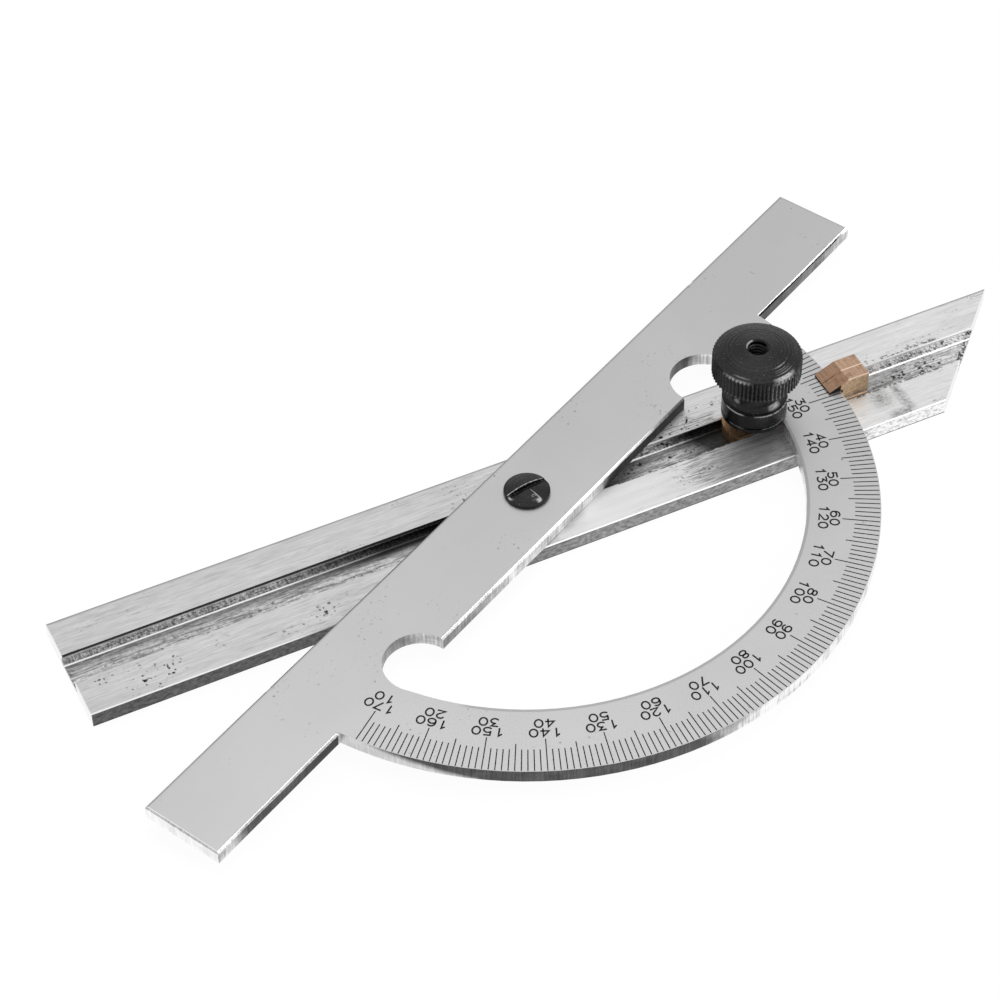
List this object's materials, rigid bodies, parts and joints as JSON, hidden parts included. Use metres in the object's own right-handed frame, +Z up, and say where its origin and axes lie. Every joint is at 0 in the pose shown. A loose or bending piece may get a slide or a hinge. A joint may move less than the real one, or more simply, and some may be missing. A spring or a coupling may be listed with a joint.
{
  "type": "angle ruler",
  "caption": "Flat protractor plate with a degree scale on a half-ring arc, turning and sliding on a grooved rail and clamped by a knurled knob.",
  "frame": {"origin": "on the rail's underside, below the pivot axis", "axes": "+X along the rail towards its angled end, +Y towards its longer edge, +Z up through the plate"},
  "size_m": [0.1815, 0.1071, 0.0208],
  "materials": {
    "rail_steel": "drawn steel, brushed lengthwise, with fine pits and dark streaks",
    "plate_steel": "satin ground steel with bright bevelled edges",
    "scale_ink": "matte black filling of the engraved degree marks and numbers",
    "slide_brass": "milled brass gone brown, with fine tool lines",
    "black_steel": "turned steel with a black oxide finish"
  },
  "bodies": {
    "rail": {"rail_back_way": "rail_steel", "rail_front_way": "rail_steel", "rail_floor": "rail_steel"},
    "carriage": {"pivot_nut": "rail_steel", "pivot_screw": "black_steel", "index_slide": "slide_brass", "clamp_stud": "black_steel"},
    "plate": {"protractor_plate": "plate_steel"},
    "washer": {"clamp_washer": "black_steel"},
    "knob": {"clamp_knob": "black_steel"}
  },
  "joints": [
    {"name": "carriage_slide", "type": "slide", "parent": "rail", "child": "carriage", "axis": [1, 0, 0], "range_m": [-0.077, 0.017]},
    {"name": "plate_turn", "type": "hinge", "parent": "carriage", "child": "plate", "pos_m": [0, 0, 0.00305], "axis": [0, 0, 1], "range_deg": [-17, 143]},
    {"name": "clamp_lift", "type": "slide", "parent": "carriage", "child": "washer", "axis": [0, 0, 1], "range_m": [0, 0.0014]},
    {"name": "knob_turn", "type": "hinge", "parent": "washer", "child": "knob", "pos_m": [0.044, 0, 0.00555], "axis": [0, 0, 1], "range_deg": [0, 720]}
  ],
  "couplings": [
    {"joint": "clamp_lift", "follows": "knob_turn", "m_per_rad": 0.00011141}
  ]
}
